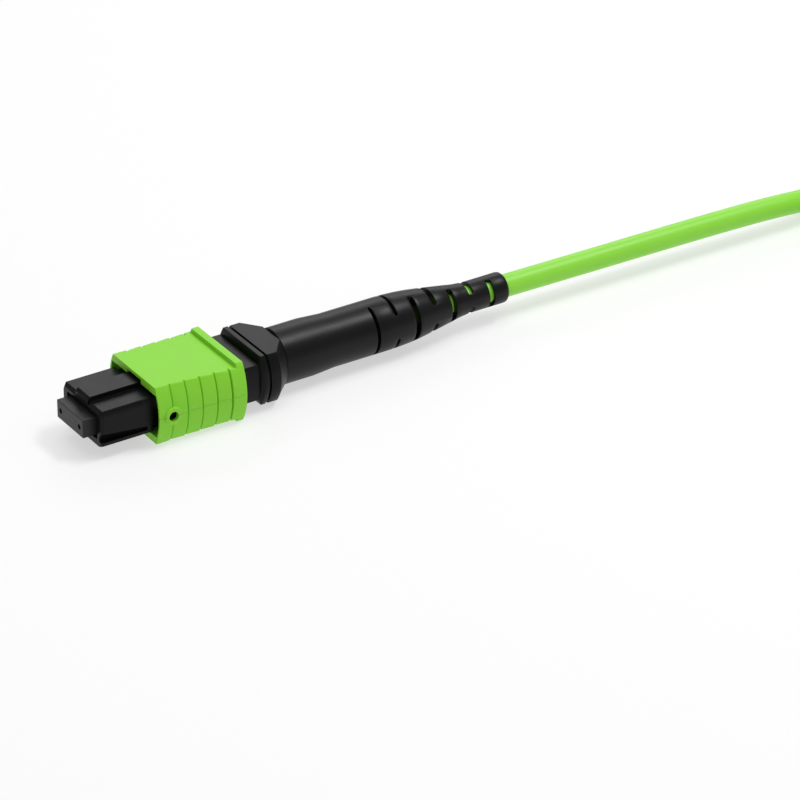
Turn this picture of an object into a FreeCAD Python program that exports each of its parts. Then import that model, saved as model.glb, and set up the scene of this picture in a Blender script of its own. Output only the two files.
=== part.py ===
import FreeCAD, Part
import Sketcher
import math
import os
import re

from FreeCAD import Placement, Rotation, Vector

# A female twelve-fibre push-pull connector on a 3 mm round cord. +X runs from the mating face
# towards the cord, +Z is the keyed side, and the origin is the centre of the ferrule's mating face.
# Lengths are millimetres, angles are degrees.

SIZES = {
    # multi-fibre ferrule, with the mating face at x = 0
    "ferrule_width": 6.4,
    "ferrule_height": 2.5,
    "ferrule_length": 8.0,
    "ferrule_edge": 0.15,
    "shoulder_width": 7.0,
    "shoulder_height": 3.0,
    "shoulder_length": 2.4,
    "guide_hole_diameter": 0.7,
    "guide_hole_spacing": 4.6,
    "fibre_pitch": 0.25,
    "fibre_diameter": 0.125,
    "fibre_land": 3.0,
    "ribbon_width": 3.1,
    "ribbon_thickness": 0.32,
    "ferrule_window_length": 1.6,
    "ferrule_boot_width": 3.6,
    "ferrule_boot_height": 1.5,
    "ferrule_boot_length": 3.4,
    "ferrule_boot_seat": 2.0,
    # pin clamp and the oval spring behind it
    "clamp_width": 6.9,
    "clamp_height": 2.9,
    "clamp_thickness": 1.5,
    "spring_wire": 0.42,
    "spring_width": 6.2,
    "spring_height": 2.8,
    "spring_turns": 5.0,
    # inner housing
    "housing_front": 1.7,
    "housing_length": 22.7,
    "housing_height": 5.0,
    "nose_top_width": 8.3,
    "nose_width": 9.6,
    "nose_corner": 1.1,
    "nose_length": 7.2,
    "waist_width": 7.9,
    "waist_length": 2.5,
    "body_wall": 1.0,
    "channel_wall": 0.4,
    "side_radius": 8.0,
    "key_width": 3.0,
    "key_height": 0.64,
    "key_setback": 0.12,
    "key_length": 8.5,
    "gutter_radius": 0.72,
    "gutter_drop": 1.05,
    "gutter_length": 6.4,
    "mouth_width": 7.3,
    "mouth_height": 3.3,
    "mouth_depth": 0.7,
    "cavity_width": 7.2,
    "cavity_height": 3.3,
    # coupling sleeve
    "sleeve_front": 9.05,
    "sleeve_length": 12.3,
    "sleeve_side": 0.45,
    "sleeve_height": 7.9,
    "sleeve_back_height": 7.1,
    "sleeve_flare": 0.5,
    "grip_radius": 8.0,
    "rib_first": 2.0,
    "rib_pitch": 2.07,
    "rib_step": 0.3,
    "rib_groove_width": 0.24,
    "rib_groove_depth": 0.3,
    "bar_length": 1.0,
    "bar_height": 8.2,
    "sleeve_mouth_wall": 0.325,
    "sleeve_mouth_height": 5.8,
    "sleeve_mouth_depth": 3.3,
    "key_slot_width": 3.3,
    "key_slot_rise": 0.55,
    "port_diameter": 1.3,
    "port_ring_diameter": 2.3,
    "port_setback": 1.9,
    # coupling springs in the side channels
    "channel_front": 13.0,
    "channel_length": 6.4,
    "channel_height": 1.7,
    "side_spring_diameter": 1.5,
    "side_spring_wire": 0.24,
    "side_spring_turns": 5.0,
    "gather_setback": 3.2,
    "bundle_width": 1.5,
    "bundle_height": 0.9,
    # spring push: plug, latch hooks, flange and crimp neck
    "push_reach": 6.9,
    "arm_thickness": 0.6,
    "arm_slit": 0.4,
    "arm_slit_length": 4.9,
    "hook_length": 1.1,
    "hook_height": 1.8,
    "hook_rise": 0.7,
    "hook_setback": 3.2,
    "flange_diameter": 11.2,
    "flange_height": 6.86,
    "collar_length": 1.05,
    "collar_slope": 0.45,
    "collar_foot": 0.4,
    "flange_gap": 0.32,
    "flange_gap_depth": 0.35,
    "flange_length": 1.5,
    "flange_cone_length": 1.9,
    "flange_cone_diameter": 7.94,
    "neck_diameter": 4.6,
    "neck_length": 7.4,
    "neck_bore": 2.4,
    "ribbon_way_width": 3.58,
    "ribbon_way_height": 1.12,
    # crimp and cord
    "yarn_thickness": 0.2,
    "crimp_wall": 0.3,
    "crimp_grip_length": 2.8,
    "cord_diameter": 3.0,
    "cord_bore": 1.9,
    # bend relief boot
    "boot_rim_diameter": 7.46,
    "boot_length": 33.5,
    "boot_band": 4.3,
    "boot_waist": 7.4,
    "boot_barrel_diameter": 7.0,
    "boot_shoulder": 15.5,
    "boot_shoulder_length": 6.0,
    "boot_shoulder_drop": 0.48,
    "boot_shoulder_bulge": 0.12,
    "boot_taper_length": 3.9,
    "boot_taper_drop": 0.62,
    "boot_hollow_length": 3.4,
    "boot_hollow_dip": 0.058,
    "boot_tail_diameter": 4.05,
    "boot_edge": 0.35,
    "slot_first": 13.5,
    "slot_pitch": 2.95,
    "slot_narrow": 0.4,
    "slot_wide": 0.75,
    "slot_span": 130.0,
    "slot_turn": 78.0,
    # free cord: a straight run, then a tied hank, then the far connector
    "cord_droop": 0.5,
    "droop_x": 86.0,
    "sag": 1.35,
    "sag_x": 108.0,
    "hank_x": 127.0,
    "hank_y": -6.0,
    "hank_run": 24.0,
    "hank_turn_radius": 10.6,
    "hank_layers": 4.0,
    "hank_entry": 8.0,
    "tie_width": 8.0,
    "tie_thickness": 0.35,
    "tail_rise": 0.2,
    "tail_lead": 7.0,
    "far_lead": 28.5,
    "far_y": 0.4,
    # clearances
    "slide_gap": 0.08,
    "seat_gap": 0.05,
    "bore_gap": 0.1,
    "stop_gap": 0.05,
    "cut_margin": 1.0,
}

# Sizes and places worked out from the ones above.
WORKED = {
    "shoulder_front": "ferrule_length - shoulder_length",
    "ribbon_front": "ferrule_length + ferrule_boot_length - ferrule_boot_seat",
    "clamp_back": "ferrule_length + clamp_thickness",
    "housing_back": "housing_front + housing_length",
    "nose_back": "housing_front + nose_length",
    "waist_back": "nose_back + waist_length",
    "key_front": "housing_front + key_setback",
    "key_back": "key_front + key_length",
    "stop_wall": "shoulder_front",
    "body_top_width": "cavity_width + 2 * body_wall",
    "channel_back": "channel_front + channel_length",
    "channel_floor": "cavity_width / 2 + channel_wall",
    "sleeve_top_width": "body_top_width + 2 * sleeve_side",
    "sleeve_mouth_width": "sleeve_top_width - 2 * sleeve_mouth_wall",
    "mouth_back": "sleeve_front + sleeve_mouth_depth",
    "sleeve_back": "sleeve_front + sleeve_length",
    "bar_front": "sleeve_back - bar_length",
    "port_x": "sleeve_front + port_setback",
    "side_spring_y": "channel_floor + side_spring_diameter / 2 + seat_gap",
    "push_front": "housing_back - push_reach",
    "hook_front": "housing_back - hook_setback - hook_length",
    "collar_back": "housing_back + collar_length",
    "flange_front": "collar_back + flange_gap",
    "flange_back": "flange_front + flange_length",
    "cone_back": "flange_back + flange_cone_length",
    "neck_back": "cone_back + neck_length",
    "boot_front": "cone_back + stop_gap",
    "boot_back": "boot_front + boot_length",
    "taper_front": "boot_front + boot_shoulder + boot_shoulder_length",
    "hollow_front": "taper_front + boot_taper_length",
    "shoulder_end": "boot_barrel_diameter / 2 - boot_shoulder_drop",
    "crimp_inner": "neck_diameter + 2 * yarn_thickness",
    "crimp_outer": "crimp_inner + 2 * crimp_wall",
    "crimp_front": "boot_front + bore_gap",
    "crimp_back": "neck_back + seat_gap",
    "grip_back": "crimp_back + crimp_grip_length",
    "jacket_front": "neck_back + stop_gap",
    "cord_radius": "cord_diameter / 2",
    "floor": "-bar_height / 2",
    "cord_rest": "floor + cord_diameter / 2",
    "hank_end": "hank_x + hank_run",
    "hank_outer": "hank_turn_radius + cord_diameter",
    "hank_inner": "hank_turn_radius - cord_diameter",
    "hank_layer": "cord_diameter * sqrt(3) / 2",
    "hank_height": "cord_diameter + hank_layer * (hank_layers - 1) + 2 * tie_thickness",
    "tie_front": "hank_x + (hank_run - tie_width) / 2",
    "tie_back": "tie_front + tie_width",
    "far_boot_x": "hank_end + far_lead",
    "far_x": "far_boot_x + boot_back",
    "grip_bulge": "grip_radius - sqrt(grip_radius ^ 2 - bar_height ^ 2 / 4)",
}

doc = FreeCAD.newDocument("fibre_connector")
sheet = doc.addObject("Spreadsheet::Sheet", "sizes")
for row, (alias, number) in enumerate(SIZES.items(), start=1):
    sheet.set("A%d" % row, alias)
    sheet.set("B%d" % row, str(number))
    sheet.setAlias("B%d" % row, alias)
doc.recompute()


def bind(formula):
    """A formula of size names, spelt as an expression that reads the sheet."""

    def spell(match):
        word = match.group(0)
        if word in SIZES:
            return "sizes." + word
        if word in WORKED:
            return "(" + bind(WORKED[word]) + ")"
        return word

    return re.sub(r"[a-z]\w*", spell, str(formula))


def size(formula):
    """The present value of a formula of size names."""
    return float(sheet.evalExpression(bind(formula)))


# ---------------------------------------------------------------- drawing helpers

def new_body(label):
    body = doc.addObject("PartDesign::Body", label)
    body.Label = label
    return body


def new_sketch(body, plane, offset="0", turn=0):
    """A sketch on one of the body's own planes, moved along its normal and turned about its x axis."""
    sketch = body.newObject("Sketcher::SketchObject", "sketch")
    support = [feature for feature in body.Origin.OriginFeatures if feature.Role == plane][0]
    sketch.AttachmentSupport = [(support, "")]
    sketch.MapMode = "FlatFace"
    if turn:
        sketch.AttachmentOffset = Placement(Vector(), Rotation(Vector(1, 0, 0), 1.0))
        sketch.setExpression("AttachmentOffset.Rotation.Angle", bind(turn))
    sketch.setExpression("AttachmentOffset.Base.z", bind(offset))
    return sketch


def pin(sketch, geometry, end, across, up):
    """Hold a point of the sketch at two formulas."""
    for kind, formula in (("DistanceX", across), ("DistanceY", up)):
        constraint = Sketcher.Constraint(kind, -1, 1, geometry, end, size(formula))
        index = sketch.addConstraint(constraint)
        sketch.setExpression("Constraints[%d]" % index, bind(formula))


def bow(start, end, radius, outward):
    """An arc between two points, and which of its ends lies on the first point."""
    chord = end - start
    normal = Vector(chord.y, -chord.x, 0).normalize() * outward
    centre = (start + end) * 0.5 - normal * math.sqrt(radius ** 2 - (chord.Length / 2) ** 2)
    angles = [math.atan2(point.y - centre.y, point.x - centre.x) for point in (start, end)]
    forward = (start - centre).cross(end - centre).z > 0
    low, high = angles if forward else reversed(angles)
    if high < low:
        high += 2 * math.pi
    arc = Part.ArcOfCircle(Part.Circle(centre, Vector(0, 0, 1), radius), low, high)
    return arc, (1, 2) if forward else (2, 1)


def loop(sketch, corners):
    """A closed outline. A corner is (x, y), or (x, y, radius) where the edge after it is an arc:
    it bulges out of the outline, or into it where the fourth entry is "in"."""
    first = sketch.GeometryCount
    points = [Vector(size(corner[0]), size(corner[1]), 0) for corner in corners]
    count = len(points)
    area = sum(points[i].cross(points[(i + 1) % count]).z for i in range(count))
    hand = 1 if area > 0 else -1
    ends = []
    for i, corner in enumerate(corners):
        start, end = points[i], points[(i + 1) % count]
        if len(corner) == 2:
            sketch.addGeometry(Part.LineSegment(start, end))
            ends.append((1, 2))
            continue
        outward = -hand if corner[-1] == "in" else hand
        arc, order = bow(start, end, size(corner[2]), outward)
        sketch.addGeometry(arc)
        ends.append(order)
    for i, corner in enumerate(corners):
        follower = (i + 1) % count
        sketch.addConstraint(Sketcher.Constraint(
            "Coincident", first + i, ends[i][1], first + follower, ends[follower][0]))
        pin(sketch, first + i, ends[i][0], corner[0], corner[1])
        if len(corner) > 2:
            index = sketch.addConstraint(Sketcher.Constraint("Radius", first + i, size(corner[2])))
            sketch.setExpression("Constraints[%d]" % index, bind(corner[2]))


def box_loop(sketch, left, right, low, high):
    loop(sketch, [(left, low), (right, low), (right, high), (left, high)])


def disc(sketch, across, up, diameter):
    index = sketch.addGeometry(Part.Circle(Vector(size(across), size(up), 0), Vector(0, 0, 1),
                                           size(diameter) / 2))
    pin(sketch, index, 3, across, up)
    constraint = sketch.addConstraint(Sketcher.Constraint("Diameter", index, size(diameter)))
    sketch.setExpression("Constraints[%d]" % constraint, bind(diameter))


def extrude(body, kind, sketch, length, middle=False):
    """A pad along the sketch's normal, or a pocket that cuts along it."""
    feature = body.newObject("PartDesign::" + kind, kind.lower())
    feature.Profile = sketch
    feature.Reversed = kind == "Pocket" and not middle
    feature.Midplane = middle
    feature.setExpression("Length", bind(length))
    return feature


def spin(body, kind, sketch, angle="360", middle=False):
    """A revolution or groove about the sketch's own x axis."""
    feature = body.newObject("PartDesign::" + kind, kind.lower())
    feature.Profile = sketch
    feature.ReferenceAxis = (sketch, ["H_Axis"])
    feature.Midplane = middle
    feature.setExpression("Angle", bind(angle))
    return feature


def slab(body, kind, front, back, draw):
    """A pad or pocket along x from one station to another; draw fills its cross-section."""
    sketch = new_sketch(body, "YZ_Plane", front)
    draw(sketch)
    return extrude(body, kind, sketch, "(%s) - (%s)" % (back, front))


def block(body, kind, front, back, width, height):
    """A slab of rectangular section, centred on the connector's axis."""
    half, rise = "(%s) / 2" % width, "(%s) / 2" % height
    return slab(body, kind, front, back,
                lambda sketch: box_loop(sketch, "-" + half, half, "-" + rise, rise))


def barrel(sketch, top_width, height, radius, grow="0"):
    """A cross-section with flat top and bottom and two bulging sides, grown all round."""
    half = "(%s) / 2 + %s" % (top_width, grow)
    rise = "(%s) / 2 + %s" % (height, grow)
    loop(sketch, [("-(%s)" % half, "-(%s)" % rise), (half, "-(%s)" % rise, "%s + %s" % (radius, grow)),
                  (half, rise), ("-(%s)" % half, rise, "%s + %s" % (radius, grow))])


# ---------------------------------------------------------------- ferrule group

def mt_ferrule():
    """Moulded ferrule: nose, rear shoulder, two guide holes, twelve fibre holes and a glue window."""
    body = new_body("mt_ferrule")
    block(body, "Pad", "0", "ferrule_length", "ferrule_width", "ferrule_height")
    block(body, "Pad", "shoulder_front", "ferrule_length", "shoulder_width", "shoulder_height")
    block(body, "Pocket", "fibre_land", "ferrule_length - ferrule_boot_seat",
          "ribbon_width + 2 * slide_gap", "ribbon_thickness + 2 * slide_gap")
    block(body, "Pocket", "ferrule_length - ferrule_boot_seat", "ferrule_length",
          "ferrule_boot_width", "ferrule_boot_height")
    holes = new_sketch(body, "YZ_Plane")
    for side in (-1, 1):
        disc(holes, "%d * guide_hole_spacing / 2" % side, "0", "guide_hole_diameter")
    extrude(body, "Pocket", holes, "ferrule_length")
    window = new_sketch(body, "XY_Plane")
    box_loop(window, "fibre_land", "fibre_land + ferrule_window_length",
             "-ribbon_width / 2", "ribbon_width / 2")
    glue = extrude(body, "Pocket", window, "ferrule_height")
    glue.Reversed = True
    doc.recompute()
    front = front_edges(body, "0", "ferrule_width", "ferrule_height")
    bevel(body, front, "ferrule_edge")
    return body


def front_edges(body, station, width, height):
    """Names of the outline edges of a rectangular front face."""
    names = []
    for index, edge in enumerate(body.Shape.Edges, start=1):
        box = edge.BoundBox
        flat = abs(box.XMax - size(station)) < 1e-4 and box.XLength < 1e-4
        wide = abs(box.YLength - size(width)) < 1e-4
        tall = abs(box.ZLength - size(height)) < 1e-4
        if flat and (wide or tall):
            names.append("Edge%d" % index)
    return names


def bevel(body, edges, amount):
    solid = body.Tip
    chamfer = body.newObject("PartDesign::Chamfer", "chamfer")
    chamfer.Base = (solid, edges)
    chamfer.setExpression("Size", bind(amount))
    return chamfer


def fibre_array():
    """Twelve bare fibres, polished flush with the ferrule face: one group of separate rods."""
    rods = []
    for fibre in range(12):
        rod = doc.addObject("Part::Prism", "fibre")
        rod.Polygon = 8
        rod.Placement = Placement(Vector(), Rotation(Vector(0, 1, 0), 90))
        rod.setExpression("Circumradius", bind("fibre_diameter / 2"))
        rod.setExpression("Height", bind("fibre_land"))
        rod.setExpression("Placement.Base.y", bind("%s * fibre_pitch" % (fibre - 5.5)))
        rods.append(rod)
    group = doc.addObject("Part::Compound", "fibre_array")
    group.Links = rods
    group.Label = "fibre_array"
    return group


def ribbon_end():
    """The part of the fibre ribbon that the ferrule carries with it."""
    body = new_body("ribbon_end")
    block(body, "Pad", "fibre_land", "ribbon_front", "ribbon_width", "ribbon_thickness")
    return body


def fibre_ribbon():
    """The ribbon behind the ferrule: flat through the spring, gathered round into the cord."""
    body = new_body("fibre_ribbon")
    gather = "housing_back - gather_setback"
    block(body, "Pad", "ribbon_front", gather, "ribbon_width", "ribbon_thickness")
    flat = new_sketch(body, "YZ_Plane", gather)
    box_loop(flat, "-ribbon_width / 2", "ribbon_width / 2", "-ribbon_thickness / 2", "ribbon_thickness / 2")
    gathered = new_sketch(body, "YZ_Plane", "collar_back")
    box_loop(gathered, "-bundle_width / 2", "bundle_width / 2", "-bundle_height / 2", "bundle_height / 2")
    gathering = body.newObject("PartDesign::AdditiveLoft", "gathering")
    gathering.Profile = flat
    gathering.Sections = [gathered]
    gathering.Ruled = True
    block(body, "Pad", "collar_back", "boot_back - bore_gap", "bundle_width", "bundle_height")
    return body


def ferrule_boot():
    """Rubber boot that holds the ribbon square in the back of the ferrule."""
    body = new_body("ferrule_boot")
    block(body, "Pad", "ferrule_length - ferrule_boot_seat", "ribbon_front",
          "ferrule_boot_width", "ferrule_boot_height")
    block(body, "Pocket", "ferrule_length - ferrule_boot_seat", "ribbon_front",
          "ribbon_width", "ribbon_thickness")
    return body


def pin_clamp():
    """Clamp plate behind the ferrule; a female connector's clamp carries no pins, only their holes."""
    body = new_body("pin_clamp")
    block(body, "Pad", "ferrule_length", "clamp_back", "clamp_width", "clamp_height")
    block(body, "Pocket", "ferrule_length", "clamp_back",
          "ferrule_boot_width + 2 * seat_gap", "ferrule_boot_height + 2 * seat_gap")

    def pin_slots(sketch):
        for hand in (-1, 1):
            box_loop(sketch, "%d * (guide_hole_spacing - guide_hole_diameter) / 2" % hand,
                     "%d * (guide_hole_spacing + guide_hole_diameter) / 2" % hand,
                     "-clamp_height", "guide_hole_diameter / 2")

    slab(body, "Pocket", "ferrule_length", "clamp_back", pin_slots)
    return body


def coil_spring(label, centre, front, back, across, up, turns):
    """A square-wire compression spring along x, round or oval, between two stations."""
    wire = size("spring_wire" if across != up else "side_spring_wire")
    corner = wire * math.sqrt(0.5)
    rise_y = size(across) / 2 - corner
    rise_z = size(up) / 2 - corner
    start = size(front) + corner
    run = size(back) - corner - start
    steps = round(12 * size(turns))
    points = []
    for step in range(steps + 1):
        angle = 2 * math.pi * size(turns) * step / steps
        points.append(Vector(start + run * step / steps, rise_y * math.cos(angle), rise_z * math.sin(angle)))
    heading = (points[1] - points[0]).normalize()
    outward = heading.cross(Vector(1, 0, 0)).normalize() * (wire / 2)
    along = heading.cross(outward)
    corners = [points[0] + outward * a + along * b for a, b in ((1, 1), (-1, 1), (-1, -1), (1, -1))]
    section = Part.makePolygon(corners + corners[:1])
    spring = doc.addObject("Part::Feature", label)
    spring.Label = label
    spring.Shape = Part.makePolygon(points).makePipeShell([section], True, False, 1)
    spring.Placement = Placement(Vector(0, size(centre), 0), Rotation())
    return spring


def ferrule_spring():
    """Oval spring round the ribbon, between the pin clamp and the spring push."""
    return coil_spring("ferrule_spring", "0", "clamp_back + seat_gap", "push_front - seat_gap",
                       "spring_width", "spring_height", "spring_turns")


# ---------------------------------------------------------------- housing

def inner_housing():
    """Keyed plug body: nose with latch catches, waist, and a rear body with spring channels."""
    body = new_body("inner_housing")
    top = "nose_top_width / 2"
    side = "nose_width / 2"
    rise = "housing_height / 2"
    brow = "housing_height / 2 - nose_corner"

    def nose(sketch):
        loop(sketch, [("-" + top, "-" + rise), (top, "-" + rise), (side, "-(%s)" % brow), (side, brow),
                      (top, rise), ("-" + top, rise), ("-" + side, brow), ("-" + side, "-(%s)" % brow)])

    slab(body, "Pad", "housing_front", "nose_back", nose)
    block(body, "Pad", "nose_back", "waist_back", "waist_width", "housing_height")
    slab(body, "Pad", "waist_back", "housing_back",
         lambda sketch: barrel(sketch, "body_top_width", "housing_height", "side_radius"))
    slab(body, "Pad", "key_front", "key_back",
         lambda sketch: box_loop(sketch, "-key_width / 2", "key_width / 2",
                                 rise + " - seat_gap", rise + " + key_height"))

    def gutters(sketch):
        for hand in (-1, 1):
            disc(sketch, "%d * nose_width / 2" % hand, "-gutter_drop", "2 * gutter_radius")

    slab(body, "Pocket", "housing_front", "housing_front + gutter_length", gutters)
    block(body, "Pocket", "housing_front", "housing_front + mouth_depth", "mouth_width", "mouth_height")
    block(body, "Pocket", "housing_front", "stop_wall", "ferrule_width + 2 * slide_gap",
          "ferrule_height + 2 * slide_gap")
    block(body, "Pocket", "stop_wall", "housing_back", "cavity_width", "cavity_height")

    def channels(sketch):
        for hand in (-1, 1):
            box_loop(sketch, "%d * channel_floor" % hand, "%d * body_top_width" % hand,
                     "-channel_height / 2", "channel_height / 2")

    slab(body, "Pocket", "channel_front", "channel_back", channels)
    slab(body, "Pocket", "hook_front - seat_gap", "hook_front + hook_length + seat_gap",
         lambda sketch: box_loop(sketch, "-body_top_width", "body_top_width",
                                 "-hook_height / 2 - seat_gap", "hook_height / 2 + seat_gap"))
    return body


# ---------------------------------------------------------------- coupling sleeve

def coupling_sleeve():
    """Sliding grip: barrel sides cut into flared ribs, sloping top and bottom, rear lip, side ports."""
    body = new_body("coupling_sleeve")
    core = "sleeve_top_width - 2 * rib_groove_depth"
    slab(body, "Pad", "sleeve_front", "sleeve_back",
         lambda sketch: barrel(sketch, core, "bar_height", "grip_radius"))
    grooves = ["sleeve_front + rib_first + %d * rib_pitch" % rib for rib in range(5)]
    fronts = ["sleeve_front"] + [groove + " + rib_groove_width / 2" for groove in grooves]
    backs = [groove + " - rib_groove_width / 2" for groove in grooves] + ["sleeve_back"]
    for rib, (front, back) in enumerate(zip(fronts, backs)):
        flare = "sleeve_flare * %d / 5" % rib
        dip = "rib_step" if 0 < rib < 5 else "0"
        start = new_sketch(body, "YZ_Plane", front)
        barrel(start, "sleeve_top_width + %s - %s" % (flare, dip), "bar_height", "grip_radius")
        stop = new_sketch(body, "YZ_Plane", back)
        barrel(stop, "sleeve_top_width + %s" % flare, "bar_height", "grip_radius")
        scale = body.newObject("PartDesign::AdditiveLoft", "rib")
        scale.Profile = start
        scale.Sections = [stop]
        scale.Ruled = True
    ring = new_sketch(body, "XZ_Plane")
    disc(ring, "port_x", "0", "port_ring_diameter")
    extrude(body, "Pad", ring, "sleeve_top_width + 2 * grip_bulge", middle=True)
    slopes = new_sketch(body, "XZ_Plane")
    for hand in (-1, 1):
        loop(slopes, [("sleeve_front - cut_margin", "%d * sleeve_height / 2" % hand),
                      ("sleeve_front", "%d * sleeve_height / 2" % hand),
                      ("bar_front", "%d * sleeve_back_height / 2" % hand),
                      ("bar_front", "%d * bar_height" % hand),
                      ("sleeve_front - cut_margin", "%d * bar_height" % hand)])
    extrude(body, "Pocket", slopes, "4 * sleeve_top_width", middle=True)
    slab(body, "Pocket", "sleeve_front", "mouth_back",
         lambda sketch: barrel(sketch, "sleeve_mouth_width", "sleeve_mouth_height", "grip_radius"))
    slab(body, "Pocket", "sleeve_front", "sleeve_back",
         lambda sketch: barrel(sketch, "body_top_width", "housing_height", "side_radius", "slide_gap"))
    slab(body, "Pocket", "sleeve_front", "key_back + stop_gap",
         lambda sketch: box_loop(sketch, "-key_slot_width / 2", "key_slot_width / 2", "0",
                                 "sleeve_mouth_height / 2 + key_slot_rise"))

    def channels(sketch):
        reach = "side_spring_y + side_spring_diameter / 2 + seat_gap"
        for hand in (-1, 1):
            box_loop(sketch, "%d * channel_floor" % hand, "%d * (%s)" % (hand, reach),
                     "-channel_height / 2", "channel_height / 2")

    slab(body, "Pocket", "channel_front", "sleeve_back", channels)
    port = new_sketch(body, "XZ_Plane")
    disc(port, "port_x", "0", "port_diameter")
    extrude(body, "Pocket", port, "4 * sleeve_top_width", middle=True)
    return body


def side_spring(label, hand):
    """One of the two springs that push the sleeve forward, in the channel between it and the housing."""
    return coil_spring(label, "%d * side_spring_y" % hand, "channel_front + seat_gap",
                       "channel_back - seat_gap", "side_spring_diameter", "side_spring_diameter",
                       "side_spring_turns")


def coupling_spring_left():
    return side_spring("coupling_spring_left", -1)


def coupling_spring_right():
    return side_spring("coupling_spring_right", 1)


# ---------------------------------------------------------------- spring push, crimp and boot

def spring_push():
    """Rear closure: plug with two latch arms, notched collar, round flange, cone and crimp neck."""
    body = new_body("spring_push")
    profile = new_sketch(body, "XZ_Plane")
    disc_radius = "flange_diameter / 2"
    shallow = "flange_diameter / 2 - flange_gap_depth"
    loop(profile, [("housing_back", "0"), ("housing_back", disc_radius), ("collar_back", disc_radius),
                   ("collar_back", shallow), ("flange_front", shallow), ("flange_front", disc_radius),
                   ("flange_back", disc_radius), ("cone_back", "flange_cone_diameter / 2"),
                   ("cone_back", "0")])
    spin(body, "Revolution", profile)
    flats = new_sketch(body, "XZ_Plane")
    tall = "flange_height / 2"
    for hand in (-1, 1):
        loop(flats, [("housing_back - cut_margin", "%d * (housing_height / 2 - collar_foot)" % hand),
                     ("housing_back", "%d * (housing_height / 2 - seat_gap)" % hand),
                     ("housing_back + collar_slope", "%d * %s" % (hand, tall)),
                     ("collar_back", "%d * %s" % (hand, tall)),
                     ("collar_back", "%d * (%s - flange_gap_depth)" % (hand, tall)),
                     ("flange_front", "%d * (%s - flange_gap_depth)" % (hand, tall)),
                     ("flange_front", "%d * %s" % (hand, tall)),
                     ("cone_back + cut_margin", "%d * %s" % (hand, tall)),
                     ("cone_back + cut_margin", "%d * flange_diameter" % hand),
                     ("housing_back - cut_margin", "%d * flange_diameter" % hand)])
    extrude(body, "Pocket", flats, "4 * flange_diameter", middle=True)
    block(body, "Pad", "push_front", "housing_back", "cavity_width - 2 * slide_gap",
          "cavity_height - 2 * slide_gap")
    arm_inside = "cavity_width / 2 - slide_gap - arm_thickness"

    def slits(sketch):
        for hand in (-1, 1):
            box_loop(sketch, "%d * (%s)" % (hand, arm_inside), "%d * (%s - arm_slit)" % (hand, arm_inside),
                     "-cavity_height / 2", "cavity_height / 2")

    slab(body, "Pocket", "push_front", "push_front + arm_slit_length", slits)
    slab(body, "Pad", "hook_front", "hook_front + hook_length", lambda sketch: hooks(sketch, arm_inside))
    slab(body, "Pad", "flange_back", "neck_back", lambda sketch: disc(sketch, "0", "0", "neck_diameter"))
    block(body, "Pocket", "push_front", "flange_front", "ribbon_way_width", "ribbon_way_height")
    slab(body, "Pocket", "housing_back", "neck_back",
         lambda sketch: disc(sketch, "0", "0", "neck_bore"))
    return body


def hooks(sketch, arm_inside):
    """Catches on the outer faces of the two arms."""
    for hand in (-1, 1):
        box_loop(sketch, "%d * (%s + arm_thickness / 2)" % (hand, arm_inside),
                 "%d * (cavity_width / 2 + hook_rise)" % hand, "-hook_height / 2", "hook_height / 2")


def tube_body(label, front, back, outer, inner):
    """A plain tube about the connector's axis."""
    body = new_body(label)
    profile = new_sketch(body, "XZ_Plane")
    box_loop(profile, front, back, "(%s) / 2" % inner, "(%s) / 2" % outer)
    spin(body, "Revolution", profile)
    return body


def aramid_yarn():
    """Strength yarn folded back over the neck and held by the crimp ring."""
    return tube_body("aramid_yarn", "crimp_front", "neck_back", "crimp_inner", "neck_diameter")


def crimp_ring():
    """Stepped metal ring: wide part on the yarn and neck, narrow part on the cord's jacket."""
    body = new_body("crimp_ring")
    profile = new_sketch(body, "XZ_Plane")
    narrow = "cord_diameter / 2 + crimp_wall"
    loop(profile, [("crimp_front", "crimp_inner / 2"), ("crimp_back", "crimp_inner / 2"),
                   ("crimp_back", "cord_diameter / 2"), ("grip_back", "cord_diameter / 2"),
                   ("grip_back", narrow), ("crimp_back + crimp_wall", narrow),
                   ("crimp_back + crimp_wall", "crimp_outer / 2"), ("crimp_front", "crimp_outer / 2")])
    spin(body, "Revolution", profile)
    return body


def cord_end():
    """The stretch of the cord's jacket that the crimp grips and the boot covers."""
    return tube_body("cord_end", "jacket_front", "boot_back", "cord_diameter", "cord_bore")


def curve(start, level, length, drop, bulge, steps):
    """Points of a shallow curve that falls by drop over length, bowed outwards by bulge."""
    points = []
    for step in range(steps + 1):
        share = step / steps
        points.append(("%s + %s * %.4f" % (start, length, share),
                       "%s - (%s) * %.4f + %s * %.4f" % (level, drop, share, bulge,
                                                         4 * share * (1 - share))))
    return points


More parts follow.
